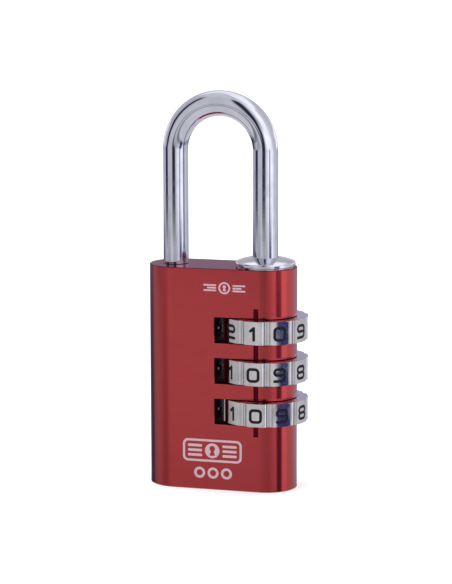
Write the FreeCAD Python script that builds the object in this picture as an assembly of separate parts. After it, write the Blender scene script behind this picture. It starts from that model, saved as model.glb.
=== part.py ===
import FreeCAD, Part
import math
import os

# A small three-dial combination padlock, in millimetres, +Z up.
# The origin is the centre of the body's flat bottom. The dials are read from the front, which
# faces -Y, and they stand out at the right-hand end, +X.

V = FreeCAD.Vector
UP = V(0, 0, 1)

# Body: a bar with flat front and back and fully rounded ends.
BODY_WIDTH = 20.0
BODY_DEPTH = 8.0
BODY_HEIGHT = 29.7
BODY_EDGE = 0.07
END_RADIUS = BODY_DEPTH / 2

# How far a cutting tool reaches past the metal it cuts.
PAST = 1.0

# Dial stack: the dials, code sleeves and the shackle's long leg share one upright axis.
AXIS_X = 5.78
DIAL_COUNT = 3
DIAL_PITCH = 5.46
MIDDLE_DIAL_Z = 16.06
READ_DIGITS = (1, 0, 0)
DIAL_PLAY_DEG = (-2.2, -2.2, 1.2)

# Slots for the dials, milled from the right-hand end.
SLOT_HEIGHT = 3.44
SLOT_END_X = -0.15
SLOT_EDGE = 0.07

# Dial: a turned ring with ten numbered facets and a hollow flute between neighbours.
FACETS = 10
FACET_DEG = 360 / FACETS
FACET_CENTRE_R = 5.66
FACET_CROWN_R = 12.0
FACET_HALF_DEG = 12.2
FLUTE_DEPTH = 0.25
DIAL_HEIGHT = 3.06
DIAL_LIFT = 0.13
DIAL_EDGE = 0.04
DIAL_BORE_R = 3.07
NOTCH_R = 3.36
NOTCH_WIDTH = 0.85

# Numerals: rounded strokes cut into the facets and filled with black enamel.
DIGIT_WIDTH = 1.40
DIGIT_HEIGHT = 1.57
DIGIT_DROP = 0.08
STROKE = 0.38
CORNER_R = 0.4
ENGRAVE_DEPTH = 0.14
FILL_BELOW = 0.035

# Index line: a shallow groove down the front that the read numerals line up with.
INDEX_X = 5.53
INDEX_WIDTH = 0.67
INDEX_DEPTH = 0.16
INDEX_BOTTOM = 7.45
INDEX_TOP = 24.6

# Bores on the dial axis.
BORE_R = 3.1
BORE_FLOOR = 7.7
SPRING_BORE_R = 2.62
KEYWAY_R = 3.36
KEYWAY_WIDTH = 0.8

# Shackle.
SHACKLE_R = 1.675
SHORT_LEG_X = -6.5
BEND_Z = 44.92
LEG_BOTTOM = 1.5
TOE_R = 1.5
TOE_TOP = BODY_HEIGHT + 0.05
TOE_BOTTOM = 25.5
TOE_EDGE = 0.45
TOE_HOLE_R = 1.62
TOE_HOLE_FLOOR = 25.2
LIFT = 5.3

# Locking: each fin on the long leg stands under a flange in its code sleeve, and passes the
# flange only through the sleeve's gate.
SLEEVE_R = 3.02
SLEEVE_BORE_R = 1.75
POCKET_R = 2.42
SLEEVE_FOOT = 2.3
FLANGE = 0.8
GATE_WIDTH = 1.25
FIN_R = 2.32
FIN_WIDTH = 1.0
FIN_HEIGHT = 1.0
FIN_PLAY = 0.05
KEY_R = 3.24
KEY_WIDTH = 0.5
KEY_INSET = 0.1
KEY_ROOT = 0.4

# Small inner pieces.
AXIAL_GAP = 0.03
SPACER_R = 3.06
SPACER_BORE_R = 2.52
STOP_WASHER = 0.5
CLIP_R = 2.35
CLIP_GROOVE_R = 1.3
CLIP_THICKNESS = 0.42
CLIP_GAP = 0.02
CLIP_PLAY = 0.08
CLIP_MOUTH = 2.08
PLUG_R = 2.6
PLUG_HEIGHT = 1.2
PLUG_EDGE = 0.15
PLUG_SLOT_LENGTH = 3.64
PLUG_SLOT_WIDTH = 0.5
PLUG_SLOT_DEPTH = 0.45
SPRING_POCKET_R = 0.98
SPRING_POCKET_TOP = 7.0
SPRING_MEAN_R = 0.7
SPRING_WIRE_R = 0.13
SPRING_TURNS = 9

# Collar pressed into the top of the bore, round the long leg. Its outline goes up from the foot
# as (radius, height over the body's top): an undercut foot, an upright band, then a low dome.
COLLAR_OUTLINE = [
    (3.8, 0), (3.8, 0.12), (3.97, 0.24), (3.97, 0.56), (3.92, 0.66), (3.7, 0.76),
    (3.4, 0.88), (3.0, 1.0), (2.5, 1.12), (2.0, 1.2),
]
COLLAR_EDGE = 0.14
COLLAR_SKIRT = 1.45
COLLAR_SKIRT_R = 3.08
COLLAR_SKIRT_EDGE = 0.2

# Detents: a sprung ball behind each dial rests over one of its flutes.
DETENT_Y = -1.82
BALL_R = 0.5
BALL_GAP = 0.06
DETENT_BORE_R = 0.54
DETENT_BORE_END_X = -2.95
DETENT_WIRE_R = 0.06
DETENT_SPRING_R = 0.36
DETENT_TURNS = 8


def cylinder(r, z0, z1, x=AXIS_X, y=0.0):
    return Part.makeCylinder(r, z1 - z0, V(x, y, z0), UP)


def tube(outer, inner, z0, z1):
    return cylinder(outer, z0, z1).cut(cylinder(inner, z0 - PAST, z1 + PAST))


def block(x0, x1, y0, y1, z0, z1):
    return Part.makeBox(x1 - x0, y1 - y0, z1 - z0, V(x0, y0, z0))


def turned(points):
    """A solid turned about the dial axis from (radius, z) points."""
    ring = [V(AXIS_X + r, 0, z) for r, z in points]
    face = Part.Face(Part.makePolygon(ring + ring[:1]))
    return face.revolve(V(AXIS_X, 0, 0), UP, 360)


def turn(shape, degrees):
    """A copy of the shape, turned about the dial axis."""
    copy = shape.copy()
    copy.rotate(V(AXIS_X, 0, 0), UP, degrees)
    return copy


def polar(r, degrees):
    a = math.radians(degrees)
    return V(r * math.cos(a), r * math.sin(a), 0)


def dial_z(number):
    """The middle of a slot. Dial 1 is the top one."""
    return MIDDLE_DIAL_Z + (2 - number) * DIAL_PITCH


def dial_ends(number):
    middle = dial_z(number) + DIAL_LIFT
    return middle - DIAL_HEIGHT / 2, middle + DIAL_HEIGHT / 2


def flange_bottom(number):
    return dial_ends(number)[1] - FLANGE


def coil(mean_r, wire_r, turns, length):
    """A coil spring along +Z, with its lowest wire resting on z = 0."""
    rise = length - 2 * wire_r
    path = Part.makeHelix(rise / turns, rise, mean_r)
    wire = Part.Wire(Part.makeCircle(wire_r, V(mean_r, 0, 0), V(0, 1, 0)))
    spring = Part.Wire(path.Edges).makePipeShell([wire], True, True)
    spring.translate(V(0, 0, wire_r))
    return spring


def stadium(width, depth, z0, z1):
    r = depth / 2
    c = width / 2 - r
    right = Part.Arc(V(c, -r, z0), V(c + r, 0, z0), V(c, r, z0)).toShape()
    left = Part.Arc(V(-c, r, z0), V(-c - r, 0, z0), V(-c, -r, z0)).toShape()
    back = Part.makeLine(V(c, r, z0), V(-c, r, z0))
    front = Part.makeLine(V(-c, -r, z0), V(c, -r, z0))
    return Part.Face(Part.Wire([right, back, left, front])).extrude(UP * (z1 - z0))


def slot_edges(shape):
    """The outer edges of the dial slots: level ones on the outside, and the upright slot ends."""
    levels = [dial_z(n) + s * SLOT_HEIGHT / 2 for n in range(1, DIAL_COUNT + 1) for s in (-1, 1)]
    chosen = []
    for edge in shape.Edges:
        box = edge.BoundBox
        outside = abs(abs(box.YMin) - END_RADIUS) < 1e-6 and abs(abs(box.YMax) - END_RADIUS) < 1e-6
        level = box.ZLength < 1e-6 and any(abs(box.ZMin - z) < 1e-6 for z in levels)
        in_slot = level or abs(box.ZLength - SLOT_HEIGHT) < 1e-6
        past_end = box.XMin > SLOT_END_X - 1e-6
        if outside and in_slot and past_end and box.XLength + box.ZLength > 0.1:
            chosen.append(edge)
    return chosen


def make_lock_body():
    bar = stadium(BODY_WIDTH, BODY_DEPTH, 0, BODY_HEIGHT)
    rims = [e for e in bar.Edges if e.BoundBox.ZLength < 1e-6]
    bar = bar.makeChamfer(BODY_EDGE, rims)
    for number in range(1, DIAL_COUNT + 1):
        z = dial_z(number)
        half = SLOT_HEIGHT / 2
        bar = bar.cut(block(SLOT_END_X, BODY_WIDTH, -BODY_DEPTH, BODY_DEPTH, z - half, z + half))
    bar = bar.makeChamfer(SLOT_EDGE, slot_edges(bar))
    bar = bar.cut(cylinder(BORE_R, BORE_FLOOR, BODY_HEIGHT + PAST))
    bar = bar.cut(cylinder(SPRING_BORE_R, -PAST, BORE_FLOOR + PAST))
    keyway = block(AXIS_X - KEYWAY_R, AXIS_X, -KEYWAY_WIDTH / 2, KEYWAY_WIDTH / 2,
                   BORE_FLOOR, BODY_HEIGHT + PAST)
    bar = bar.cut(keyway)
    bar = bar.cut(cylinder(TOE_HOLE_R, TOE_HOLE_FLOOR, BODY_HEIGHT + PAST, SHORT_LEG_X))
    half = INDEX_WIDTH / 2
    front = -BODY_DEPTH / 2
    index = block(INDEX_X - half, INDEX_X + half, front - PAST, front + INDEX_DEPTH,
                  INDEX_BOTTOM, INDEX_TOP)
    bar = bar.cut(index)
    for number in range(1, DIAL_COUNT + 1):
        hole = Part.makeCylinder(DETENT_BORE_R, SLOT_END_X + PAST - DETENT_BORE_END_X,
                                 V(DETENT_BORE_END_X, DETENT_Y, dial_z(number)), V(1, 0, 0))
        bar = bar.cut(hole)
    return bar


def make_shackle():
    middle_x = (AXIS_X + SHORT_LEG_X) / 2
    long_leg = cylinder(SHACKLE_R, LEG_BOTTOM, BEND_Z)
    short_leg = cylinder(SHACKLE_R, TOE_TOP, BEND_Z, SHORT_LEG_X)
    section = Part.Face(Part.Wire(Part.makeCircle(SHACKLE_R, V(AXIS_X, 0, BEND_Z), UP)))
    bend = section.revolve(V(middle_x, 0, BEND_Z), V(0, -1, 0), 180)
    toe = cylinder(TOE_R, TOE_BOTTOM + TOE_EDGE, TOE_TOP, SHORT_LEG_X)
    tip = Part.makeCone(TOE_R - TOE_EDGE, TOE_R, TOE_EDGE, V(SHORT_LEG_X, 0, TOE_BOTTOM), UP)
    shape = long_leg.multiFuse([bend, short_leg, toe, tip])
    for number in range(1, DIAL_COUNT + 1):
        top = flange_bottom(number) - FIN_PLAY
        blade = block(AXIS_X - FIN_WIDTH / 2, AXIS_X + FIN_WIDTH / 2, SHACKLE_R / 2, FIN_R,
                      top - FIN_HEIGHT, top)
        shape = shape.fuse(blade.common(cylinder(FIN_R, top - FIN_HEIGHT, top)))
    low, high = clip_span()
    shape = shape.cut(tube(SHACKLE_R + PAST, CLIP_GROOVE_R, low, high))
    shape = shape.cut(cylinder(SPRING_POCKET_R, LEG_BOTTOM - PAST, SPRING_POCKET_TOP))
    return shape.removeSplitter()


def clip_span():
    """Where the clip's groove is on the long leg: the clip meets the stop washer at full lift."""
    high = BORE_FLOOR - LIFT - CLIP_PLAY
    return high - CLIP_THICKNESS, high


def make_retaining_clip():
    low, high = clip_span()
    ring = tube(CLIP_R, CLIP_GROOVE_R + CLIP_GAP, low + CLIP_GAP, high - CLIP_GAP)
    mouth = block(AXIS_X, AXIS_X + CLIP_R + PAST, -CLIP_MOUTH / 2, CLIP_MOUTH / 2, low, high)
    return ring.cut(mouth)


def make_collar():
    bottom = BODY_HEIGHT - COLLAR_SKIRT
    top = BODY_HEIGHT + COLLAR_OUTLINE[-1][1]
    outline = [(r, BODY_HEIGHT + z) for r, z in COLLAR_OUTLINE]
    return turned([
        (SLEEVE_BORE_R, bottom),
        (COLLAR_SKIRT_R - COLLAR_SKIRT_EDGE, bottom),
        (COLLAR_SKIRT_R, bottom + COLLAR_SKIRT_EDGE),
        (COLLAR_SKIRT_R, BODY_HEIGHT),
        *outline,
        (SLEEVE_BORE_R + COLLAR_EDGE, top),
        (SLEEVE_BORE_R, top - COLLAR_EDGE),
    ])


def facet_radius(degrees):
    """How far a facet's crown is from the dial axis, this many degrees off the facet's middle."""
    a = math.radians(degrees)
    centre = FACET_CENTRE_R - FACET_CROWN_R
    return centre * math.cos(a) + math.sqrt(FACET_CROWN_R ** 2 - (centre * math.sin(a)) ** 2)


DIAL_RIM_R = facet_radius(FACET_HALF_DEG)


def dial_outline(z):
    """The dial's outline: crowned facets, with a hollow flute at each corner."""
    flute_floor_r = DIAL_RIM_R * math.cos(math.radians(FACET_DEG / 2 - FACET_HALF_DEG)) - FLUTE_DEPTH

    def point(r, degrees):
        return V(AXIS_X, 0, z) + polar(r, degrees)

    edges = []
    for k in range(FACETS):
        middle = -90 + k * FACET_DEG
        start = point(DIAL_RIM_R, middle - FACET_HALF_DEG)
        end = point(DIAL_RIM_R, middle + FACET_HALF_DEG)
        floor = point(flute_floor_r, middle + FACET_DEG / 2)
        following = point(DIAL_RIM_R, middle + FACET_DEG - FACET_HALF_DEG)
        edges.append(Part.Arc(start, point(FACET_CENTRE_R, middle), end).toShape())
        edges.append(Part.Arc(end, floor, following).toShape())
    return Part.Face(Part.Wire(edges))


def stroke(points, closed=False):
    """A pen stroke of constant width along straight runs with rounded corners, as flat faces."""
    runs = [V(x, y, 0) for x, y in points]
    half = STROKE / 2
    count = len(runs)
    pieces = []
    corners = range(count) if closed else range(1, count - 1)
    cut = {}
    for i in corners:
        before = (runs[i - 1] - runs[i]).normalize()
        after = (runs[(i + 1) % count] - runs[i]).normalize()
        angle = before.getAngle(after)
        radius = min(CORNER_R, 0.48 * (runs[i - 1] - runs[i]).Length * math.tan(angle / 2),
                     0.48 * (runs[(i + 1) % count] - runs[i]).Length * math.tan(angle / 2))
        back = radius / math.tan(angle / 2)
        cut[i] = (runs[i] + before * back, runs[i] + after * back)
        middle = (before + after).normalize()
        hub = runs[i] + middle * (radius / math.sin(angle / 2))
        ends = [cut[i][0] - hub, cut[i][1] - hub]
        reach = -middle
        outer = [hub + e.normalize() * (radius + half) for e in (V(ends[0]), V(ends[1]))]
        inner = [hub + e.normalize() * (radius - half) for e in (V(ends[0]), V(ends[1]))]
        bend = Part.Wire([
            Part.Arc(outer[0], hub + reach * (radius + half), outer[1]).toShape(),
            Part.makeLine(outer[1], inner[1]),
            Part.Arc(inner[1], hub + reach * (radius - half), inner[0]).toShape(),
            Part.makeLine(inner[0], outer[0]),
        ])
        pieces.append(Part.Face(bend))
    for i in range(count if closed else count - 1):
        j = (i + 1) % count
        a = cut[i][1] if i in cut else runs[i]
        b = cut[j][0] if j in cut else runs[j]
        along = (b - a).normalize()
        side = V(-along.y, along.x, 0) * half
        ring = [a + side, b + side, b - side, a - side, a + side]
        pieces.append(Part.Face(Part.makePolygon(ring)))
    if not closed:
        for tip in (runs[0], runs[-1]):
            pieces.append(Part.Face(Part.Wire(Part.makeCircle(half, tip, UP))))
    return pieces


def numeral(digit, height):
    """The strokes of one numeral as a solid, centred on the origin of the XY plane and facing +Z."""
    x = DIGIT_WIDTH / 2
    y = DIGIT_HEIGHT / 2
    square = [(-x, -y), (x, -y), (x, y), (-x, y)]
    strokes = {
        0: [(square, True)],
        1: [([(-x * 0.5, y * 0.5), (x * 0.15, y)], False), ([(x * 0.15, y), (x * 0.15, -y)], False)],
        2: [([(-x, y * 0.7), (-x, y), (x, y), (x, 0), (-x, 0), (-x, -y), (x, -y)], False)],
        3: [([(-x, y), (x, y), (x, -y), (-x, -y)], False),
            ([(-x * 0.4, 0), (x, 0)], False)],
        4: [([(-x, y), (-x, -y * 0.2), (x, -y * 0.2)], False),
            ([(x * 0.5, y * 0.3), (x * 0.5, -y)], False)],
        5: [([(x, y), (-x, y), (-x, y * 0.1), (x, y * 0.1), (x, -y), (-x, -y)], False)],
        6: [([(x, y), (-x, y), (-x, -y), (x, -y), (x, 0), (-x, 0)], False)],
        7: [([(-x, y), (x, y), (-x * 0.1, -y)], False)],
        8: [([(-x, 0), (x, 0), (x, y), (-x, y)], True),
            ([(-x, -y), (x, -y), (x, 0), (-x, 0)], True)],
        9: [([(x, 0), (-x, 0), (-x, y), (x, y), (x, -y), (-x, -y)], False)],
    }
    pieces = []
    for points, closed in strokes[digit]:
        pieces += stroke(points, closed)
    solids = [face.extrude(UP * height) for face in pieces]
    return solids[0].multiFuse(solids[1:]).removeSplitter()


def numeral_prism(digit, degrees, z):
    """The numeral as a solid that stands through the facet facing the given direction."""
    solid = numeral(digit, 2 * PAST)
    solid.rotate(V(0, 0, 0), V(1, 0, 0), 90)
    solid.translate(V(AXIS_X, PAST - FACET_CENTRE_R, z))
    return turn(solid, degrees + 90)


def make_dial(number):
    """The dial ring, and the enamel in its numerals."""
    low, high = dial_ends(number)
    middle = (low + high) / 2
    blank = dial_outline(low).extrude(UP * DIAL_HEIGHT)
    # the bevel's line starts outside the rim and crosses it at the same slope
    rim = DIAL_RIM_R + PAST
    bevel = DIAL_EDGE + PAST
    blank = blank.common(turned([
        (DIAL_BORE_R, low),
        (rim - bevel, low),
        (rim, low + bevel),
        (rim, high - bevel),
        (rim - bevel, high),
        (DIAL_BORE_R, high),
    ]))
    notch = block(AXIS_X - NOTCH_R, AXIS_X, -NOTCH_WIDTH / 2, NOTCH_WIDTH / 2,
                  low - PAST, high + PAST)
    notches = [turn(notch, k * FACET_DEG) for k in range(FACETS)]
    ring = blank.cut(notches[0].multiFuse(notches[1:]))
    floor_x = AXIS_X + FACET_CENTRE_R - ENGRAVE_DEPTH
    fill_x = AXIS_X + FACET_CENTRE_R - FILL_BELOW
    side = DIGIT_WIDTH
    fills = []
    for k in range(FACETS):
        digit = (READ_DIGITS[number - 1] - k) % FACETS
        degrees = -90 + k * FACET_DEG
        prism = numeral_prism(digit, degrees, middle - DIGIT_DROP)
        beyond_floor = turn(block(floor_x, AXIS_X + DIAL_RIM_R + PAST, -side, side, low, high), degrees)
        skin = turn(block(floor_x, fill_x, -side, side, low, high), degrees)
        ring = ring.cut(prism.common(beyond_floor))
        fills += prism.common(skin).Solids
    fill = Part.makeCompound(fills)
    play = DIAL_PLAY_DEG[number - 1]
    return turn(ring, play), turn(fill, play)


def make_code_sleeve(number):
    low, high = dial_ends(number)
    foot = dial_z(number) - SLEEVE_FOOT
    under = flange_bottom(number)
    sleeve = tube(SLEEVE_R, SLEEVE_BORE_R, foot, high)
    sleeve = sleeve.cut(cylinder(POCKET_R, foot - PAST, under))
    gate = block(AXIS_X - GATE_WIDTH / 2, AXIS_X + GATE_WIDTH / 2, 0, POCKET_R,
                 under - PAST, high + PAST)
    sleeve = sleeve.cut(gate)
    key = block(AXIS_X - KEY_R, AXIS_X - POCKET_R - KEY_ROOT, -KEY_WIDTH / 2, KEY_WIDTH / 2,
                low + KEY_INSET, high - KEY_INSET)
    return sleeve.fuse(key).removeSplitter()


def make_spacer(number):
    """The ring in the web under a dial, between its sleeve's foot and the dial below."""
    low = dial_ends(number + 1)[1] + AXIAL_GAP
    high = dial_z(number) - SLEEVE_FOOT - AXIAL_GAP
    return tube(SPACER_R, SPACER_BORE_R, low, high)


def make_detent(number):
    """The ball that rests over a flute of the dial, and the spring behind it."""
    z = dial_z(number)
    reach = DIAL_RIM_R + BALL_GAP + BALL_R
    ball_x = AXIS_X - math.sqrt(reach ** 2 - DETENT_Y ** 2)
    ball = Part.makeSphere(BALL_R, V(ball_x, DETENT_Y, z))
    length = ball_x - BALL_R - DETENT_BORE_END_X
    spring = coil(DETENT_SPRING_R, DETENT_WIRE_R, DETENT_TURNS, length)
    spring.rotate(V(0, 0, 0), V(0, 1, 0), 90)
    spring.translate(V(DETENT_BORE_END_X, DETENT_Y, z))
    return ball, spring


def make_bottom_plug():
    plug = turned([
        (0, 0),
        (PLUG_R - PLUG_EDGE, 0),
        (PLUG_R, PLUG_EDGE),
        (PLUG_R, PLUG_HEIGHT),
        (0, PLUG_HEIGHT),
    ])
    slot = block(AXIS_X - PLUG_SLOT_LENGTH / 2, AXIS_X + PLUG_SLOT_LENGTH / 2,
                 -PLUG_SLOT_WIDTH / 2, PLUG_SLOT_WIDTH / 2, -PAST, PLUG_SLOT_DEPTH)
    return plug.cut(slot)


def make_lift_spring():
    spring = coil(SPRING_MEAN_R, SPRING_WIRE_R, SPRING_TURNS, SPRING_POCKET_TOP - PLUG_HEIGHT)
    spring.translate(V(AXIS_X, 0, PLUG_HEIGHT))
    return spring


nodes = {
    "lock_body": make_lock_body(),
    "shackle": make_shackle(),
    "retaining_clip": make_retaining_clip(),
    "collar": make_collar(),
    "guide_bush": tube(SPACER_R, SPACER_BORE_R, dial_ends(1)[1] + AXIAL_GAP,
                       BODY_HEIGHT - COLLAR_SKIRT - AXIAL_GAP),
    "stop_washer": tube(SPACER_R, SLEEVE_BORE_R, BORE_FLOOR, BORE_FLOOR + STOP_WASHER),
    "bottom_plug": make_bottom_plug(),
    "lift_spring": make_lift_spring(),
}
for n in range(1, DIAL_COUNT + 1):
    nodes[f"dial_ring_{n}"], nodes[f"digit_fill_{n}"] = make_dial(n)
    nodes[f"code_sleeve_{n}"] = make_code_sleeve(n)
    nodes[f"detent_ball_{n}"], nodes[f"detent_spring_{n}"] = make_detent(n)
for n in range(1, DIAL_COUNT):
    nodes[f"spacer_{n}"] = make_spacer(n)

os.makedirs("parts", exist_ok=True)
for name, shape in nodes.items():
    shape.exportStep(f"parts/{name}.step")
    box = shape.BoundBox
    print(f"{name:18s} solids {len(shape.Solids)} valid {shape.isValid()} volume {shape.Volume:9.3f}"
          f"  x {box.XMin:7.2f} {box.XMax:7.2f}  y {box.YMin:6.2f} {box.YMax:6.2f}"
          f"  z {box.ZMin:6.2f} {box.ZMax:6.2f}")
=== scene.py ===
import math

import bpy
from mathutils import Matrix, Vector


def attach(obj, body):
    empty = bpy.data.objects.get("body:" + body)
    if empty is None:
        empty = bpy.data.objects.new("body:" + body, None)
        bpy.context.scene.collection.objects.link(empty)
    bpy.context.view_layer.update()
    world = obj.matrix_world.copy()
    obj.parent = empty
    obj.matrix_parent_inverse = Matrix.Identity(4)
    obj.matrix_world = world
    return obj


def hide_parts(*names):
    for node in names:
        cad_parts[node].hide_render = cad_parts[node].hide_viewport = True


# A small combination padlock in the CAD part's frame: metres, +Z up, read from the front, -Y.
MM = 0.001

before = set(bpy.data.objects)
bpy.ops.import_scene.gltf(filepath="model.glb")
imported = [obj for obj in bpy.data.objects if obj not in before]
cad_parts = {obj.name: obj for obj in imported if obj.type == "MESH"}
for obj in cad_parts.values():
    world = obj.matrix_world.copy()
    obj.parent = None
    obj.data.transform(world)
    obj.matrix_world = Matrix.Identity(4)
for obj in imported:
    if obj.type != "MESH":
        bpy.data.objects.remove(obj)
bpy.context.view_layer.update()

# ---------------------------------------------------------------- sizes shared with the CAD part
AXIS_X = 5.78
SHORT_LEG_X = -6.5
SHACKLE_R = 1.675
BEND_Z = 44.92
LEG_BOTTOM = 1.5
SPRING_POCKET = (0.98, 7.0)  # radius, top
CLIP_GROOVE = (1.3, 1.90, 2.32)  # radius, bottom, top
TOE_R = 1.5
TOE_BOTTOM = 25.5
FIN_TOP = 22.33
FIN_HEIGHT = 1.0
DIALS = (1, 2, 3)
DIAL_PITCH = 5.46
BODY_TOP = 29.7
TOP_EDGE_LOW = BODY_TOP - 0.1
FRONT_Y = -4.0
DIAL_Z = {n: 21.52 - (n - 1) * DIAL_PITCH for n in DIALS}
DIAL_LIFT = 0.13
DIAL_HEIGHT = 3.06
SLOT_HEIGHT = 3.44
SLOT_END_X = -0.15
INDEX_GROOVE_X = (5.1, 5.95)
INDEX_GROOVE_Y = (-3.999, -3.7)
INDEX_GROOVE_Z = (7.3, 24.8)

# ---------------------------------------------------------------- etched marks: centres on the front
UPPER_MARK = (1.25, 27.2)
LOWER_MARK = (-0.45, 5.275)
FOOT_MARK_X = (-2.2, -0.35, 1.5)
FOOT_MARK_Z = 2.25
MARK_THICKNESS = 0.008

# Camera: position, and its bearing from the front, downward pitch and roll.
CAMERA_AT = Vector((80.360, -287.247, 76.016)) * MM
CAMERA_BEARING = math.radians(15.561)
CAMERA_PITCH = math.radians(9.520)
CAMERA_ROLL = math.radians(-0.110)
CAMERA_LENS = 140.51


# ---------------------------------------------------------------- node helpers
class Nodes:
    """A node tree with short calls for adding and linking nodes."""

    def __init__(self, tree):
        self.tree = tree
        tree.nodes.clear()

    def add(self, kind, inputs=None, **settings):
        node = self.tree.nodes.new(kind)
        for key, value in settings.items():
            setattr(node, key, value)
        for key, value in (inputs or {}).items():
            if isinstance(value, bpy.types.NodeSocket):
                self.tree.links.new(value, node.inputs[key])
            else:
                node.inputs[key].default_value = value
        return node

    def math(self, operation, a, b=0.0):
        return self.add("ShaderNodeMath", {0: a, 1: b}, operation=operation).outputs[0]

    def between(self, value, low, high, to_low=0.0, to_high=1.0, smooth=True):
        """A value mapped from one range to another and held inside it."""
        kind = "SMOOTHSTEP" if smooth else "LINEAR"
        node = self.add("ShaderNodeMapRange", {
            "Value": value, "From Min": low, "From Max": high, "To Min": to_low, "To Max": to_high,
        }, interpolation_type=kind)
        return node.outputs[0]

    def blend(self, factor, a, b):
        """Colour a at factor 0, colour b at factor 1."""
        node = self.add("ShaderNodeMix", data_type="RGBA")
        for socket, value in zip((node.inputs[0], node.inputs[6], node.inputs[7]), (factor, a, b)):
            if isinstance(value, bpy.types.NodeSocket):
                self.tree.links.new(value, socket)
            else:
                socket.default_value = value
        return node.outputs[2]

    def noise(self, vector, scale, detail=3.0, roughness=0.5):
        node = self.add("ShaderNodeTexNoise", {
            "Vector": vector, "Scale": scale, "Detail": detail, "Roughness": roughness,
        })
        return node.outputs[0]

    def millimetres(self, stretch=(1.0, 1.0, 1.0)):
        """Object coordinates in millimetres, stretched by a factor on each axis."""
        coords = self.add("ShaderNodeTexCoord").outputs["Object"]
        scale = [s / MM for s in stretch]
        return self.add("ShaderNodeMapping", {"Vector": coords, "Scale": scale}).outputs[0]

    def bump(self, height, strength, distance_mm, normal=None):
        inputs = {"Height": height, "Strength": strength, "Distance": distance_mm * MM}
        if normal is not None:
            inputs["Normal"] = normal
        return self.add("ShaderNodeBump", inputs).outputs[0]


def rgb(r, g, b):
    return (r, g, b, 1.0)


def new_material(name):
    """A material with one principled shader, and its node tree."""
    material = bpy.data.materials.new(name)
    material.use_nodes = True
    nodes = Nodes(material.node_tree)
    shader = nodes.add("ShaderNodeBsdfPrincipled")
    nodes.add("ShaderNodeOutputMaterial", {"Surface": shader.outputs[0]})
    return material, nodes, shader


def set_inputs(nodes, shader, **values):
    """Set or link sockets, each named with underscores in place of spaces."""
    for key, value in values.items():
        socket = shader.inputs[key.replace("_", " ")]
        if isinstance(value, bpy.types.NodeSocket):
            nodes.tree.links.new(value, socket)
        else:
            socket.default_value = value


def edge_mask(nodes, radius_mm):
    """1 on sharp edges of the mesh, 0 on flat or gently curved places."""
    bevel = nodes.add("ShaderNodeBevel", {"Radius": radius_mm * MM}, samples=6)
    geometry = nodes.add("ShaderNodeNewGeometry")
    dot = nodes.add("ShaderNodeVectorMath", {0: bevel.outputs[0], 1: geometry.outputs["Normal"]},
                    operation="DOT_PRODUCT")
    return nodes.between(dot.outputs["Value"], 0.995, 0.9)


# ---------------------------------------------------------------- materials
def anodised_red():
    """Dyed anodised aluminium: a fine level brushing under a thin hard clear layer."""
    material, nodes, shader = new_material("anodised_red")
    streaks = nodes.noise(nodes.millimetres((0.10, 0.10, 14.0)), 1.0, 4.0, 0.6)
    fine = nodes.noise(nodes.millimetres((0.35, 0.35, 34.0)), 1.0, 3.0, 0.6)
    cloud = nodes.noise(nodes.millimetres((0.12, 0.12, 0.10)), 1.0, 2.0)
    speck = nodes.noise(nodes.millimetres((6, 6, 6)), 1.0, 2.0)
    edge = edge_mask(nodes, 0.12)
    colour = nodes.blend(nodes.between(streaks, 0.3, 0.7),
                         rgb(0.405, 0.007, 0.011), rgb(0.455, 0.010, 0.017))
    colour = nodes.blend(nodes.between(cloud, 0.3, 0.7, 0.0, 0.35), colour, rgb(0.41, 0.007, 0.017))
    colour = nodes.blend(nodes.between(speck, 0.62, 0.75, 0.0, 0.2), colour, rgb(0.45, 0.013, 0.021))
    # painted highlight: sharp edges blended towards a lighter red
    colour = nodes.blend(nodes.math("MULTIPLY", edge, 0.15), colour, rgb(0.50, 0.10, 0.11))
    rough = nodes.between(fine, 0.3, 0.7, 0.13, 0.17)
    rough = nodes.math("ADD", rough, nodes.math("MULTIPLY", speck, 0.04))
    normal = nodes.bump(streaks, 0.03, 0.010)
    normal = nodes.bump(fine, 0.06, 0.006, normal)
    tangent = nodes.add("ShaderNodeTangent", direction_type="RADIAL", axis="Z")
    set_inputs(nodes, shader, Base_Color=colour, Metallic=1.0, Roughness=rough, Normal=normal,
               Anisotropic=0.3, Anisotropic_Rotation=0.25, Tangent=tangent.outputs[0],
               Coat_Weight=1.0, Coat_Roughness=0.14, Coat_IOR=1.56)
    return material


def anodised_ends():
    """The polished ends of the body: the same dye over a fine even grain."""
    material, nodes, shader = new_material("anodised_ends")
    grain = nodes.noise(nodes.millimetres((9, 9, 9)), 1.0, 3.0)
    cloud = nodes.noise(nodes.millimetres((0.3, 0.3, 0.3)), 1.0, 2.0)
    colour = nodes.blend(nodes.between(grain, 0.3, 0.7),
                         rgb(0.360, 0.020, 0.030), rgb(0.420, 0.028, 0.038))
    colour = nodes.blend(nodes.between(cloud, 0.3, 0.7, 0.0, 0.4), colour, rgb(0.36, 0.024, 0.046))
    set_inputs(nodes, shader, Base_Color=colour, Metallic=1.0, Specular_Tint=rgb(0.53, 0.52, 0.62),
               Roughness=nodes.between(grain, 0.3, 0.7, 0.12, 0.18),
               Normal=nodes.bump(grain, 0.04, 0.004))
    return material


def index_groove_shade():
    """Painted shade in the index groove: a dark red metal, a little uneven along its length."""
    material, nodes, shader = new_material("index_groove_shade")
    mottle = nodes.noise(nodes.millimetres((1.5, 1.5, 0.8)), 1.0, 4.0)
    grain = nodes.noise(nodes.millimetres((9, 9, 9)), 1.0, 3.0)
    colour = nodes.blend(nodes.between(mottle, 0.3, 0.7),
                         rgb(0.100, 0.003, 0.011), rgb(0.140, 0.006, 0.018))
    rough = nodes.between(grain, 0.3, 0.7, 0.40, 0.55)
    set_inputs(nodes, shader, Base_Color=colour, Metallic=0.9, Roughness=rough, Specular_IOR_Level=0.1,
               Normal=nodes.bump(grain, 0.25, 0.01))
    return material


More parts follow.
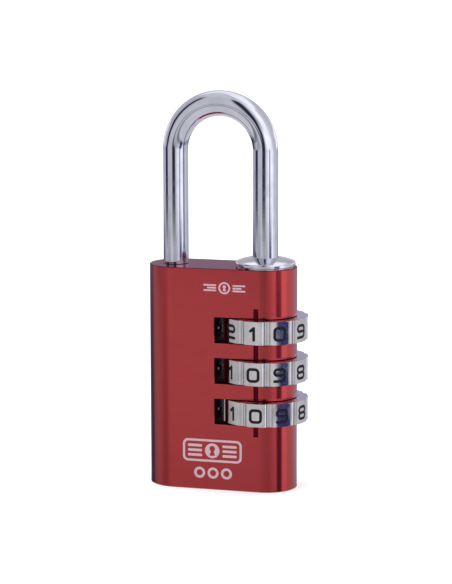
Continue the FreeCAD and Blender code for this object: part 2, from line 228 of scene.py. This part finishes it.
def slot_wall_shade():
    """The milled walls of the dial slots, in painted shade: a dark base over coarse cutter marks."""
    material, nodes, shader = new_material("slot_wall_shade")
    marks = nodes.noise(nodes.millimetres((1.2, 7.0, 1.2)), 1.0, 4.0)
    colour = nodes.blend(nodes.between(marks, 0.3, 0.7),
                         rgb(0.060, 0.006, 0.014), rgb(0.115, 0.012, 0.024))
    set_inputs(nodes, shader, Base_Color=colour, Metallic=1.0,
               Roughness=nodes.between(marks, 0.3, 0.7, 0.38, 0.52), Normal=nodes.bump(marks, 0.2, 0.01))
    return material


def chrome(name, tint, roughness, along=None, wear=0.5, edge_tint=rgb(1, 1, 1)):
    """Plated chrome with faint polishing lines, a light haze and hairline marks."""
    material, nodes, shader = new_material(name)
    if along:
        path = nodes.add("ShaderNodeAttribute", attribute_name=along).outputs["Vector"]
        lines_at = nodes.add("ShaderNodeMapping", {"Vector": path, "Scale": (5.0, 0.6, 1.0)}).outputs[0]
        haze_at = nodes.add("ShaderNodeMapping", {"Vector": path, "Scale": (0.5, 0.5, 1.0)}).outputs[0]
    else:
        lines_at = nodes.millimetres((0.5, 0.5, 6.0))
        haze_at = nodes.millimetres((0.6, 0.6, 0.6))
    lines = nodes.noise(lines_at, 1.0, 4.0, 0.65)
    haze = nodes.noise(haze_at, 1.0, 3.0)
    marks = nodes.add("ShaderNodeTexVoronoi", {"Vector": nodes.millimetres((1.3, 1.3, 0.5)), "Scale": 1.0},
                      feature="DISTANCE_TO_EDGE").outputs["Distance"]
    hairline = nodes.between(marks, 0.0, 0.006, 1.0, 0.0)
    darker = rgb(*(0.90 * c for c in tint[:3]))
    colour = nodes.blend(nodes.between(haze, 0.35, 0.7), tint, darker)
    rough = nodes.between(haze, 0.35, 0.75, roughness, roughness * 2.0)
    rough = nodes.math("ADD", rough, nodes.math("MULTIPLY", hairline, 0.10 * wear))
    normal = nodes.bump(lines, 0.05 * wear, 0.01)
    normal = nodes.bump(hairline, 0.05 * wear, -0.004, normal)
    set_inputs(nodes, shader, Base_Color=colour, Metallic=1.0, Roughness=rough, Normal=normal,
               Specular_Tint=edge_tint)
    return material


def enamel():
    """Black enamel sunk in the numerals."""
    material, nodes, shader = new_material("numeral_enamel")
    grain = nodes.noise(nodes.millimetres((8, 8, 8)), 1.0, 4.0)
    colour = nodes.blend(nodes.between(grain, 0.3, 0.7),
                         rgb(0.004, 0.004, 0.008), rgb(0.012, 0.011, 0.018))
    rough = nodes.between(grain, 0.3, 0.7, 0.42, 0.6)
    set_inputs(nodes, shader, Base_Color=colour, Roughness=rough, Specular_IOR_Level=0.12,
               Normal=nodes.bump(grain, 0.3, 0.01))
    return material


def etched():
    """Bare metal where the anodised layer has been etched away: pale, grainy and matt."""
    material, nodes, shader = new_material("etched_mark")
    grain = nodes.noise(nodes.millimetres((7, 7, 7)), 1.0, 4.0, 0.7)
    lines = nodes.noise(nodes.millimetres((0.4, 0.4, 16)), 1.0, 3.0)
    colour = nodes.blend(nodes.between(grain, 0.3, 0.7), rgb(0.45, 0.30, 0.35), rgb(0.63, 0.47, 0.53))
    colour = nodes.blend(nodes.between(lines, 0.55, 0.8, 0.0, 0.4), colour, rgb(0.36, 0.20, 0.25))
    set_inputs(nodes, shader, Base_Color=colour, Metallic=0.35,
               Roughness=nodes.between(grain, 0.3, 0.7, 0.5, 0.7), Normal=nodes.bump(grain, 0.3, 0.01))
    return material


def worked_metal(name, dark, light, low, high, strength=0.15):
    """Turned, drawn or stamped inner metal, with tool lines and a stained tone."""
    material, nodes, shader = new_material(name)
    lines = nodes.noise(nodes.millimetres((3.0, 3.0, 12.0)), 1.0, 4.0, 0.6)
    stain = nodes.noise(nodes.millimetres((0.8, 0.8, 0.8)), 1.0, 4.0)
    colour = nodes.blend(nodes.between(stain, 0.3, 0.7), dark, light)
    set_inputs(nodes, shader, Base_Color=colour, Metallic=1.0,
               Roughness=nodes.between(lines, 0.3, 0.7, low, high),
               Normal=nodes.bump(lines, strength, 0.01))
    return material


body_red = anodised_red()
body_ends = anodised_ends()
groove_shade = index_groove_shade()
shaded_milled_wall = slot_wall_shade()
rod_chrome = chrome("shackle_chrome", rgb(0.60, 0.605, 0.705), 0.045, along="rod_path", wear=0.8)
collar_chrome = chrome("collar_chrome", rgb(0.635, 0.64, 0.72), 0.07)
dial_chrome = chrome("dial_chrome", rgb(0.60, 0.575, 0.60), 0.07, wear=0.7)
dial_sides = chrome("dial_sides", rgb(0.66, 0.63, 0.68), 0.16, wear=0.7,
                    edge_tint=rgb(0.76, 0.74, 0.82))
black_enamel = enamel()
mark_metal = etched()
brass = worked_metal("brass", rgb(0.42, 0.27, 0.09), rgb(0.72, 0.50, 0.20), 0.22, 0.40)
spring_steel = worked_metal("spring_steel", rgb(0.30, 0.29, 0.29), rgb(0.50, 0.50, 0.51), 0.25, 0.42)
# painted shade: the detent balls get a very dark steel, as they sit in the slots' shadow
ball_steel = worked_metal("ball_steel", rgb(0.09, 0.07, 0.08), rgb(0.16, 0.13, 0.14), 0.24, 0.36,
                          strength=0.04)
plug_steel = worked_metal("plug_steel", rgb(0.34, 0.33, 0.33), rgb(0.56, 0.55, 0.56), 0.24, 0.42)


# ---------------------------------------------------------------- mesh helpers
SHARP_EDGE = math.radians(35)


def mesh_piece(name, points, faces, material, body):
    """A mesh from points in millimetres, shaded smooth except across sharp edges."""
    mesh = bpy.data.meshes.new(name)
    mesh.from_pydata([Vector(p) * MM for p in points], [], faces)
    mesh.validate()
    mesh.update()
    mesh.shade_smooth()
    mesh.set_sharp_from_angle(angle=SHARP_EDGE)
    mesh.materials.append(material)
    piece = bpy.data.objects.new(name, mesh)
    bpy.context.scene.collection.objects.link(piece)
    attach(piece, body)
    return piece


def ring_faces(first, second, count):
    """The quads between two rings of points, given each ring's first index."""
    faces = []
    for i in range(count):
        j = (i + 1) % count
        faces.append((first + i, first + j, second + j, second + i))
    return faces


def turned_points(profile, count):
    """Points and faces of a closed profile of (radius, z), turned about the dials' axis."""
    points = []
    faces = []
    for r, z in profile:
        for i in range(count):
            a = 2 * math.pi * i / count
            points.append((AXIS_X + r * math.cos(a), r * math.sin(a), z))
    rows = len(profile)
    for j in range(rows):
        faces += ring_faces(j * count, ((j + 1) % rows) * count, count)
    return points, faces


def smooth_profile(points, steps):
    """A Catmull-Rom curve through (radius, z) points."""
    result = []
    for i in range(len(points) - 1):
        p0 = points[max(i - 1, 0)]
        p1, p2 = points[i], points[i + 1]
        p3 = points[min(i + 2, len(points) - 1)]
        for s in range(steps):
            t = s / steps
            result.append(tuple(
                0.5 * (2 * b + (c - a) * t + (2 * a - 5 * b + 4 * c - d) * t * t
                       + (3 * b - a - 3 * c + d) * t ** 3)
                for a, b, c, d in zip(p0, p1, p2, p3)))
    return result + [points[-1]]


# ---------------------------------------------------------------- shackle
def make_shackle():
    """One rod: spring pocket, clip groove, long leg, bend, short leg and toe, with its fins."""
    around = 96
    leg_rings = 40
    bend_rings = 96
    short_leg_rings = 20
    reach = (AXIS_X - SHORT_LEG_X) / 2
    middle = (AXIS_X + SHORT_LEG_X) / 2
    pocket_r, pocket_top = SPRING_POCKET
    groove_r, groove_low, groove_high = CLIP_GROOVE
    # the foot of the short leg stands just clear of the body
    foot = BODY_TOP + 0.01
    # each ring is a point on the rod's line, the line's direction in the XZ plane, and a radius
    rings = []

    def leg(x, r, z, up):
        rings.append((x, z, 0.0, float(up), r))

    for r, z in ((0.02, pocket_top), (pocket_r, pocket_top), (pocket_r, LEG_BOTTOM + 0.05),
                 (pocket_r + 0.05, LEG_BOTTOM), (1.56, LEG_BOTTOM), (SHACKLE_R, LEG_BOTTOM + 0.12),
                 (SHACKLE_R, groove_low), (groove_r, groove_low), (groove_r, groove_high),
                 (SHACKLE_R, groove_high)):
        leg(AXIS_X, r, z, 1)
    for i in range(1, leg_rings + 1):
        leg(AXIS_X, SHACKLE_R, groove_high + (BEND_Z - groove_high) * i / leg_rings, 1)
    for i in range(1, bend_rings):
        a = math.pi * i / bend_rings
        rings.append((middle + reach * math.cos(a), BEND_Z + reach * math.sin(a),
                      -math.sin(a), math.cos(a), SHACKLE_R))
    for i in range(short_leg_rings + 1):
        leg(SHORT_LEG_X, SHACKLE_R, BEND_Z + (foot + 0.06 - BEND_Z) * i / short_leg_rings, -1)
    # a ring close to each bevel keeps the long walls' shading straight
    for r, z in ((SHACKLE_R, foot + 0.05), (SHACKLE_R - 0.02, foot + 0.01), (SHACKLE_R - 0.035, foot),
                 (TOE_R + 0.01, foot), (TOE_R, foot - 0.02), (TOE_R, foot - 0.08),
                 (TOE_R, TOE_BOTTOM + 0.58), (TOE_R, TOE_BOTTOM + 0.5), (1.46, TOE_BOTTOM + 0.41),
                 (1.1, TOE_BOTTOM + 0.05), (1.03, TOE_BOTTOM), (0.02, TOE_BOTTOM)):
        leg(SHORT_LEG_X, r, z, -1)

    points = []
    path = []
    travelled = 0.0
    for j, (x, z, dx, dz, r) in enumerate(rings):
        if j:
            travelled += math.hypot(x - rings[j - 1][0], z - rings[j - 1][1])
        for i in range(around):
            a = 2 * math.pi * i / around
            side = r * math.cos(a)
            points.append((x + side * dz, r * math.sin(a), z - side * dx))
            path.append((travelled, SHACKLE_R * math.cos(a), SHACKLE_R * math.sin(a)))
    faces = []
    for j in range(len(rings) - 1):
        faces += ring_faces(j * around, (j + 1) * around, around)
    faces.append(tuple(reversed(range(around))))
    last = (len(rings) - 1) * around
    faces.append(tuple(range(last, last + around)))

    # the fins on the long leg, one under each code sleeve's flange
    fin = ((-0.5, 0.8), (0.5, 0.8), (0.5, 2.26), (0.3, 2.3), (0.0, 2.32), (-0.3, 2.3), (-0.5, 2.26))
    corners = len(fin)
    for n in DIALS:
        top = FIN_TOP - (n - 1) * DIAL_PITCH
        base = len(points)
        for z in (top - FIN_HEIGHT, top):
            for x, y in fin:
                points.append((AXIS_X + x, y, z))
                path.append((z, x, y))
        faces.append(tuple(base + i for i in reversed(range(corners))))
        faces.append(tuple(base + corners + i for i in range(corners)))
        faces += ring_faces(base, base + corners, corners)

    rod = mesh_piece("shackle_rod", points, faces, rod_chrome, "shackle")
    attribute = rod.data.attributes.new("rod_path", "FLOAT_VECTOR", "POINT")
    for i, value in enumerate(path):
        attribute.data[i].vector = value
    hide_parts("shackle")


make_shackle()


# ---------------------------------------------------------------- collar
def make_collar():
    """The pressed collar round the long leg: skirt, undercut foot, band and low dome."""
    dome = smooth_profile([(3.94, 30.31), (3.90, 30.37), (3.70, 30.46), (3.40, 30.58), (3.0, 30.70),
                           (2.5, 30.82), (2.05, 30.895), (1.92, 30.90), (1.83, 30.86), (1.77, 30.78)], 5)
    skirt = [(1.75, 28.25), (2.9, 28.25), (3.08, 28.43), (3.08, BODY_TOP)]
    band = [(3.8, BODY_TOP), (3.8, 29.82), (3.88, 29.86), (3.95, 29.90), (3.97, 29.93), (3.97, 29.95),
            (3.97, 30.24), (3.97, 30.26)]
    points, faces = turned_points(skirt + band + dome, 160)
    collar = mesh_piece("collar_ring", points, faces, collar_chrome, "body")
    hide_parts("collar")


make_collar()


# ---------------------------------------------------------------- etched marks on the front
def circle(x, z, r, count=48, start=0.0, sweep=360.0):
    steps = count if sweep >= 360 else count + 1
    return [(x + r * math.cos(math.radians(start + sweep * i / count)),
             z + r * math.sin(math.radians(start + sweep * i / count))) for i in range(steps)]


def bar(x0, x1, z0, z1, corner):
    """A bar with rounded corners."""
    points = []
    for cx, cz, start in ((x1 - corner, z1 - corner, 0), (x0 + corner, z1 - corner, 90),
                          (x0 + corner, z0 + corner, 180), (x1 - corner, z0 + corner, 270)):
        points += circle(cx, cz, corner, 6, start, 90)
    return points


def frame_loop(x, z, half_width, half_height, corner):
    """A rounded frame line round a centre."""
    return bar(x - half_width, x + half_width, z - half_height, z + half_height, corner)


def bars_beside(x, z, inner, reaches, spacing, height, corner):
    """Three levels of bars on both sides of a centre, from the inner distance out to each reach."""
    loops = []
    for side in (-1, 1):
        for level, reach in zip((1, 0, -1), reaches):
            x0, x1 = sorted((x + side * inner, x + side * reach))
            middle = z + level * spacing
            loops.append(bar(x0, x1, middle - height / 2, middle + height / 2, corner))
    return loops


def keyhole(x, z, r):
    """A round hole over a flared slot."""
    head = circle(x, z + 0.45 * r, 0.62 * r, 32, -60, 300)
    return head + [(x - 0.62 * r, z - 1.1 * r), (x + 0.62 * r, z - 1.1 * r)]


def curve_to_mesh(name, curve):
    """A mesh object with the filled shape of a curve."""
    holder = bpy.data.objects.new(name + "_outline", curve)
    bpy.context.scene.collection.objects.link(holder)
    bpy.context.view_layer.update()
    evaluated = holder.evaluated_get(bpy.context.evaluated_depsgraph_get())
    mesh = bpy.data.meshes.new_from_object(evaluated)
    bpy.data.objects.remove(holder)
    mesh.name = name
    mesh.materials.clear()
    piece = bpy.data.objects.new(name, mesh)
    bpy.context.scene.collection.objects.link(piece)
    return piece


def etched_mark(name, loops):
    """Closed loops in the front plane, filled by the even-odd rule, as a thin plate on the front."""
    curve = bpy.data.curves.new(name, "CURVE")
    curve.dimensions = "2D"
    curve.fill_mode = "BOTH"
    curve.extrude = MARK_THICKNESS / 2 * MM
    for loop in loops:
        spline = curve.splines.new("POLY")
        spline.points.add(len(loop) - 1)
        for point, (x, z) in zip(spline.points, loop):
            point.co = (x * MM, z * MM, 0.0, 1.0)
        spline.use_cyclic_u = True
    piece = curve_to_mesh(name, curve)
    upright = Matrix.Rotation(math.pi / 2, 4, "X")
    piece.data.transform(Matrix.Translation((0, FRONT_Y * MM, 0)) @ upright)
    piece.data.materials.append(mark_metal)
    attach(piece, "body")


# near the top: a ringed keyhole between two groups of bars
x, z = UPPER_MARK
etched_mark("mark_upper", [
    circle(x, z, 0.80), circle(x, z, 0.58), keyhole(x, z, 0.36),
    *bars_beside(x, z, 1.1, (2.85, 2.35, 2.85), spacing=0.35, height=0.22, corner=0.1),
])
# near the bottom: a framed keyhole in a disc, between bars
x, z = LOWER_MARK
etched_mark("mark_lower", [
    frame_loop(x, z, 4.05, 1.525, 0.7), frame_loop(x, z, 3.75, 1.225, 0.45),
    circle(x, z, 1.0), keyhole(x, z, 0.62),
    *bars_beside(x, z, 1.4, (3.35, 3.35, 3.35), spacing=0.65, height=0.35, corner=0.12),
])
# under it: three plain rings
z = FOOT_MARK_Z
etched_mark("mark_foot", [circle(x, z, r) for x in FOOT_MARK_X for r in (0.76, 0.42)])

# ---------------------------------------------------------------- CAD nodes that stay
finishes = {
    "lock_body": body_red, "bottom_plug": plug_steel, "guide_bush": brass, "stop_washer": spring_steel,
    "retaining_clip": spring_steel, "lift_spring": spring_steel, "spacer_1": brass, "spacer_2": brass,
    "collar": collar_chrome, "shackle": rod_chrome,
}
for n in DIALS:
    finishes[f"dial_ring_{n}"] = dial_chrome
    finishes[f"digit_fill_{n}"] = black_enamel
    finishes[f"code_sleeve_{n}"] = brass
    finishes[f"detent_ball_{n}"] = ball_steel
    finishes[f"detent_spring_{n}"] = spring_steel
for name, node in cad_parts.items():
    node.data.materials.clear()
    node.data.materials.append(finishes[name])

lock_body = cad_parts["lock_body"].data
# painted shade for the index groove and for the slot walls, and the ends' own finish
for material in (groove_shade, shaded_milled_wall, body_ends):
    lock_body.materials.append(material)
GROOVE_SHADE, SHADED_WALL, ENDS = 1, 2, 3
slot_levels = [DIAL_Z[n] + s * SLOT_HEIGHT / 2 for n in DIALS for s in (-1, 1)]


def near(value, *targets):
    """True within a hundredth of a millimetre of any of the targets."""
    return min(abs(value - target) for target in targets) < 0.01


def in_index_groove(x, y, z):
    """True for a place inside the index groove."""
    return all(low < value < high for value, (low, high) in
               zip((x, y, z), (INDEX_GROOVE_X, INDEX_GROOVE_Y, INDEX_GROOVE_Z)))


for face in lock_body.polygons:
    x, y, z = (c / MM for c in face.center)
    normal = face.normal
    # painted shade on the walls of the index groove
    if in_index_groove(x, y, z) and abs(normal.z) < 0.5:
        face.material_index = GROOVE_SHADE
    # painted shade on the slots' roofs, floors and end walls
    elif abs(normal.z) > 0.99 and near(z, *slot_levels):
        face.material_index = SHADED_WALL
    elif abs(normal.x) > 0.99 and near(x, SLOT_END_X):
        face.material_index = SHADED_WALL
    elif 0.2 < normal.z < 0.99 and z > TOP_EDGE_LOW:
        # painted shade on the broken edge round the top, as dark as the shaded walls
        face.material_index = SHADED_WALL
    elif normal.z > 0.99 and near(z, BODY_TOP) or normal.z < -0.99 and near(z, 0.0):
        face.material_index = ENDS

for n in DIALS:
    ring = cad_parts[f"dial_ring_{n}"].data
    ring.materials.append(dial_sides)
    middle = DIAL_Z[n] + DIAL_LIFT
    for face in ring.polygons:
        if abs(face.normal.z) > 0.99 and near(abs(face.center.z / MM - middle), DIAL_HEIGHT / 2):
            face.material_index = 1


# ---------------------------------------------------------------- floor, light and camera
FLOOR_HALF = 3.0  # metres
FLOOR_LEVEL = -0.01 * MM


def make_floor():
    """A wide white floor that glows a little, so that it meets the white backdrop."""
    mesh = bpy.data.meshes.new("floor")
    corners = [(x * FLOOR_HALF, y * FLOOR_HALF, FLOOR_LEVEL) for x, y in
               ((-1, -1), (1, -1), (1, 1), (-1, 1))]
    mesh.from_pydata(corners, [], [(0, 1, 2, 3)])
    material, nodes, shader = new_material("floor_white")
    set_inputs(nodes, shader, Base_Color=rgb(0.95, 0.95, 0.95), Roughness=0.9, Specular_IOR_Level=0.1,
               Emission_Color=rgb(1, 1, 1), Emission_Strength=0.1)
    mesh.materials.append(material)
    floor = bpy.data.objects.new("floor", mesh)
    bpy.context.scene.collection.objects.link(floor)
    floor.visible_glossy = False


make_floor()


def ramp(nodes, factor, stops):
    """A colour ramp from (degrees, colour) stops, over -180 to 180 degrees."""
    node = nodes.add("ShaderNodeValToRGB", {"Fac": factor})
    elements = node.color_ramp.elements
    while len(elements) > 1:
        elements.remove(elements[-1])
    for i, (degrees, colour) in enumerate(stops):
        position = (degrees + 180) / 360
        element = elements[0] if i == 0 else elements.new(position)
        element.position = position
        element.color = (*colour, 1.0)
    return node.outputs[0]


BRIGHTEST = 1.6
FILL_STRENGTH = 1.08


def tone(r, g=None, b=None):
    """A reflected brightness as a share of the brightest one."""
    g = r if g is None else g
    b = r if b is None else b
    return (r / BRIGHTEST, g / BRIGHTEST, b / BRIGHTEST)


def make_world():
    """White to the camera; a soft box with a few narrow dark gaps to shiny surfaces."""
    world = bpy.data.worlds.new("studio")
    bpy.context.scene.world = world
    world.use_nodes = True
    world.cycles.sampling_method = "NONE"
    nodes = Nodes(world.node_tree)
    coords = nodes.add("ShaderNodeTexCoord").outputs["Generated"]
    turned = nodes.add("ShaderNodeVectorRotate", {"Vector": coords, "Angle": -CAMERA_BEARING},
                       rotation_type="Z_AXIS").outputs[0]
    axes = nodes.add("ShaderNodeSeparateXYZ", {0: turned})
    bearing = nodes.math("ARCTAN2", axes.outputs[0], nodes.math("MULTIPLY", axes.outputs[1], -1.0))
    factor = nodes.between(bearing, -math.pi, math.pi, smooth=False)
    height = nodes.math("MULTIPLY", nodes.math("ARCSINE", axes.outputs[2]), 180 / math.pi)
    gap = tone(0.03, 0.03, 0.07)
    blue_gap = tone(0.040, 0.045, 0.185)
    # the lowest part of the surroundings is turned by four degrees
    lean = nodes.between(height, -12.5, -11.5, 4 / 360, 0.0)
    low = ramp(nodes, nodes.math("SUBTRACT", factor, lean), [
        (-180, tone(0.30, 0.28, 0.40)), (-152, tone(0.08, 0.07, 0.16)), (-132, tone(0.07, 0.06, 0.15)),
        (-124, tone(0.22)), (-116, tone(0.42)), (-105, tone(0.58)), (-95, tone(0.73)), (-80, tone(0.67)),
        (-70, tone(0.52)), (-62, tone(0.47)), (-55, tone(0.51)), (-44, tone(0.82)), (-30, tone(0.86)),
        (-22, tone(0.74)), (-14, tone(0.68)), (-2, tone(0.61)), (6, tone(0.58)), (14, tone(0.67)),
        (20, tone(0.80)), (32.5, tone(0.95)), (34.5, blue_gap), (53.5, blue_gap),
        (55.5, tone(1.2)), (60, tone(1.3)), (69, tone(1.34)), (78, tone(1.06)), (90, tone(0.87)),
        (108, tone(0.78)), (122, tone(0.66, 0.68, 0.80)), (140, tone(0.45, 0.48, 0.66)),
        (152, tone(0.36, 0.38, 0.55)), (180, tone(0.30, 0.28, 0.40)),
    ])
    high = ramp(nodes, factor, [
        (-180, tone(0.62, 0.62, 0.68)), (-104, tone(0.66)), (-100, gap), (-77, gap), (-74, tone(0.75)),
        (-34, tone(0.75)), (-29, gap), (-8, gap), (-5, tone(0.3)), (2, tone(0.85)), (12, tone(1.1)),
        (22, tone(1.4)), (30, tone(1.6)), (31.5, tone(0.28)), (36, tone(0.28)), (38, tone(0.9)),
        (46, tone(1.3)), (52, tone(1.58)), (62, tone(1.5)), (72, tone(1.15)), (84, tone(0.85)),
        (96, tone(0.9)), (108, tone(0.75)), (130, tone(0.7)), (180, tone(0.62, 0.62, 0.68)),
    ])
    back = tone(0.60, 0.59, 0.70)
    level = ramp(nodes, factor, [
        (-180, back), (-152, back), (-146, tone(1.2)), (-130, tone(1.2)), (-110, tone(0.66)),
        (-92, tone(0.60)), (-88, gap), (-73, gap), (-70, tone(0.62)), (-60, tone(0.78)), (-22, tone(0.80)),
        (-18, gap), (-6, gap), (-2, tone(0.5)), (6, tone(1.2)), (14, tone(1.6)), (50, tone(1.6)),
        (70, tone(1.0)), (85, tone(0.82)), (104, tone(0.80)), (116, tone(1.5)), (146, tone(1.5)),
        (152, back), (180, back),
    ])
    sky = ramp(nodes, factor, [
        (-180, tone(0.57)), (-152, tone(0.57)), (-140, tone(0.75)), (-110, tone(0.64)), (-95, tone(0.58)),
        (-91, gap), (-75, gap), (-71, tone(0.60)), (-60, tone(0.78)), (-20, tone(0.82)), (-15, gap),
        (-2, gap), (2, tone(0.5)),
        (14, tone(1.0)), (24, tone(1.5)), (48, tone(1.5)), (66, tone(0.95)), (85, tone(0.80)),
        (112, tone(0.74)), (140, tone(0.80)), (152, tone(0.57)), (180, tone(0.57)),
    ])
    top = ramp(nodes, factor, [
        (-180, tone(1.25)), (-140, tone(0.85)), (0, tone(0.85)), (30, tone(1.2)), (60, tone(1.5)),
        (140, tone(1.5)), (180, tone(1.25)),
    ])
    # the bands from the lowest up, each fading into the next between two heights in degrees
    low = nodes.blend(nodes.between(height, -15.5, -13.5, 0.5, 0.0), low, rgb(0, 0, 0))
    around = nodes.blend(nodes.between(height, -24, -18), rgb(*tone(0.85)), low)
    around = nodes.blend(nodes.between(height, -8.8, -7.0), around, high)
    around = nodes.blend(nodes.between(height, -5.0, -1.0), around, level)
    around = nodes.blend(nodes.between(height, 11, 17), around, sky)
    # a bright panel high up behind the padlock
    behind = nodes.between(nodes.math("ABSOLUTE", bearing), math.radians(140), math.radians(152))
    over = nodes.math("MULTIPLY", behind, nodes.between(height, 31, 43))
    around = nodes.blend(over, around, rgb(*tone(1.37)))
    colour = nodes.blend(nodes.between(height, 50, 62), around, top)
    glossy = nodes.add("ShaderNodeBackground", {"Color": colour, "Strength": BRIGHTEST})
    plain = nodes.add("ShaderNodeBackground", {"Color": rgb(1, 1, 1), "Strength": FILL_STRENGTH})
    seen = nodes.add("ShaderNodeBackground", {"Color": rgb(1, 1, 1), "Strength": 1.0})
    rays = nodes.add("ShaderNodeLightPath")
    inner = nodes.add("ShaderNodeMixShader", {0: rays.outputs["Is Glossy Ray"], 1: plain.outputs[0],
                                              2: glossy.outputs[0]})
    outer = nodes.add("ShaderNodeMixShader", {0: rays.outputs["Is Camera Ray"], 1: inner.outputs[0],
                                              2: seen.outputs[0]})
    nodes.add("ShaderNodeOutputWorld", {"Surface": outer.outputs[0]})


make_world()


def make_light(name, bearing, height, distance, size, power):
    """A soft square lamp that faces the padlock."""
    lamp = bpy.data.lights.new(name, "AREA")
    lamp.shape = "SQUARE"
    lamp.size = size
    lamp.energy = power
    lamp_object = bpy.data.objects.new(name, lamp)
    a, e = math.radians(bearing), math.radians(height)
    back = Vector((math.sin(a) * math.cos(e), -math.cos(a) * math.cos(e), math.sin(e)))
    middle = Vector((0, 0, 25 * MM))
    lamp_object.location = middle + back * distance
    lamp_object.rotation_mode = "QUATERNION"
    lamp_object.rotation_quaternion = (-back).to_track_quat("-Z", "Y")
    bpy.context.scene.collection.objects.link(lamp_object)
    lamp_object.visible_glossy = False


make_light("softbox_top", bearing=0, height=85, distance=0.5, size=0.5, power=0.8)
make_light("softbox_left", bearing=-45, height=35, distance=0.5, size=0.4, power=0.5)


def make_camera():
    """The camera at its fitted place, built from its bearing, pitch and roll."""
    camera = bpy.data.cameras.new("camera")
    camera.lens = CAMERA_LENS
    camera.sensor_width = 36.0
    camera.clip_start = 0.01
    camera.clip_end = 20.0
    holder = bpy.data.objects.new("camera", camera)
    s, c = math.sin(CAMERA_BEARING), math.cos(CAMERA_BEARING)
    forward = Vector((-s * math.cos(CAMERA_PITCH), c * math.cos(CAMERA_PITCH), -math.sin(CAMERA_PITCH)))
    right = Vector((c, s, 0.0))
    up = right.cross(forward)
    turn = Matrix.Rotation(CAMERA_ROLL, 3, -forward)
    right, up = turn @ right, turn @ up
    rotation = Matrix((right, up, -forward)).transposed()
    holder.matrix_world = Matrix.Translation(CAMERA_AT) @ rotation.to_4x4()
    bpy.context.scene.collection.objects.link(holder)
    bpy.context.scene.camera = holder


make_camera()
bpy.context.scene.view_settings.view_transform = "Standard"
